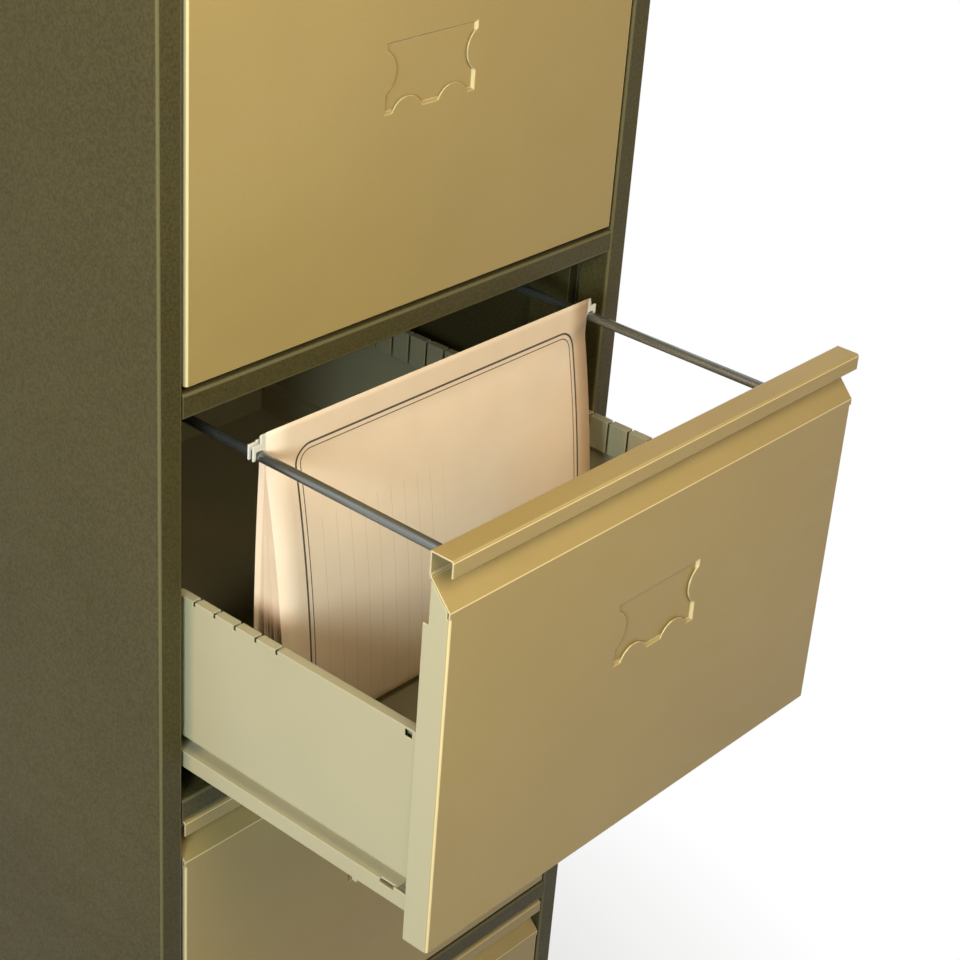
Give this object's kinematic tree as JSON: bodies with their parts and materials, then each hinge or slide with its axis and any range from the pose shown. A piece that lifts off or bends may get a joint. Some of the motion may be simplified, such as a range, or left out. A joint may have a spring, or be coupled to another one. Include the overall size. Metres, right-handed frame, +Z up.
{
  "type": "filing cabinet",
  "caption": "Tall sheet-steel filing cabinet with stacked drawers on telescopic slides, full-width pull ridges and rods for suspension files; one drawer stands open.",
  "frame": {"origin": "centre of the cabinet's footprint, on the floor under the four feet", "axes": "+Z up; -Y towards the user, the way the drawers pull out; +X to the user's right"},
  "size_m": [0.46, 0.8425, 1.32],
  "materials": {
    "frame_paint": "satin",
    "front_paint": "satin",
    "body_paint": "satin",
    "rod_zinc": "zinc plated",
    "bare_steel": "galvanised",
    "foot_plastic": "matte",
    "file_metal": "white",
    "file_card": "uncoated",
    "file_paper": "uncoated"
  },
  "bodies": {
    "root": {"side_panel_right": "frame_paint", "side_panel_left": "frame_paint", "back_panel": "frame_paint", "top_panel": "frame_paint", "front_plinth": "frame_paint", "rear_plinth": "frame_paint", "bottom_panel": "frame_paint", "rail_below_drawer_1": "frame_paint", "rail_below_drawer_2": "frame_paint", "rail_below_drawer_3": "frame_paint", "slide_upright_front_right": "frame_paint", "slide_upright_front_left": "frame_paint", "slide_upright_rear_right": "frame_paint", "slide_upright_rear_left": "frame_paint", "levelling_feet": "foot_plastic", "foot_brackets": "bare_steel", "cabinet_slide_1_left": "bare_steel", "cabinet_slide_1_right": "bare_steel", "cabinet_slide_2_left": "bare_steel", "cabinet_slide_2_right": "bare_steel", "cabinet_slide_3_left": "bare_steel", "cabinet_slide_3_right": "bare_steel", "cabinet_slide_4_left": "bare_steel", "cabinet_slide_4_right": "bare_steel"},
    "drawer_1": {"drawer_1_front": "front_paint", "drawer_1_tray": "body_paint", "drawer_1_back": "body_paint", "drawer_1_hanging_rods": "rod_zinc", "drawer_1_slide_left": "body_paint", "drawer_1_slide_right": "body_paint"},
    "middle_slides_1": {"middle_slide_1_left": "bare_steel", "middle_slide_1_right": "bare_steel"},
    "drawer_2": {"drawer_2_front": "front_paint", "drawer_2_tray": "body_paint", "drawer_2_back": "body_paint", "drawer_2_hanging_rods": "rod_zinc", "drawer_2_slide_left": "body_paint", "drawer_2_slide_right": "body_paint"},
    "middle_slides_2": {"middle_slide_2_left": "bare_steel", "middle_slide_2_right": "bare_steel"},
    "drawer_3": {"drawer_3_front": "front_paint", "drawer_3_tray": "body_paint", "drawer_3_back": "body_paint", "drawer_3_hanging_rods": "rod_zinc", "drawer_3_slide_left": "body_paint", "drawer_3_slide_right": "body_paint"},
    "middle_slides_3": {"middle_slide_3_left": "bare_steel", "middle_slide_3_right": "bare_steel"},
    "drawer_4": {"drawer_4_front": "front_paint", "drawer_4_tray": "body_paint", "drawer_4_back": "body_paint", "drawer_4_hanging_rods": "rod_zinc", "drawer_4_slide_left": "body_paint", "drawer_4_slide_right": "body_paint"},
    "middle_slides_4": {"middle_slide_4_left": "bare_steel", "middle_slide_4_right": "bare_steel"},
    "suspension_file": {"file_hanger_bars": "file_metal", "file_jacket": "file_card", "file_papers": "file_paper"}
  },
  "joints": [
    {"name": "drawer_1_slide", "type": "slide", "parent": "root", "child": "drawer_1", "axis": [0, -1, 0], "range_m": [0, 0.52]},
    {"name": "middle_slides_1_slide", "type": "slide", "parent": "root", "child": "middle_slides_1", "axis": [0, -1, 0], "range_m": [0, 0.26]},
    {"name": "drawer_2_slide", "type": "slide", "parent": "root", "child": "drawer_2", "axis": [0, -1, 0], "range_m": [-0.2225, 0.2975]},
    {"name": "middle_slides_2_slide", "type": "slide", "parent": "root", "child": "middle_slides_2", "axis": [0, -1, 0], "range_m": [-0.11125, 0.14875]},
    {"name": "drawer_3_slide", "type": "slide", "parent": "root", "child": "drawer_3", "axis": [0, -1, 0], "range_m": [0, 0.52]},
    {"name": "middle_slides_3_slide", "type": "slide", "parent": "root", "child": "middle_slides_3", "axis": [0, -1, 0], "range_m": [0, 0.26]},
    {"name": "drawer_4_slide", "type": "slide", "parent": "root", "child": "drawer_4", "axis": [0, -1, 0], "range_m": [0, 0.52]},
    {"name": "middle_slides_4_slide", "type": "slide", "parent": "root", "child": "middle_slides_4", "axis": [0, -1, 0], "range_m": [0, 0.26]},
    {"name": "file_slide", "type": "slide", "parent": "drawer_2", "child": "suspension_file", "axis": [0, 1, 0], "range_m": [-0.157, 0.352]}
  ],
  "couplings": [
    {"joint": "middle_slides_1_slide", "follows": "drawer_1_slide", "ratio": 0.5},
    {"joint": "middle_slides_2_slide", "follows": "drawer_2_slide", "ratio": 0.5},
    {"joint": "middle_slides_3_slide", "follows": "drawer_3_slide", "ratio": 0.5},
    {"joint": "middle_slides_4_slide", "follows": "drawer_4_slide", "ratio": 0.5}
  ]
}
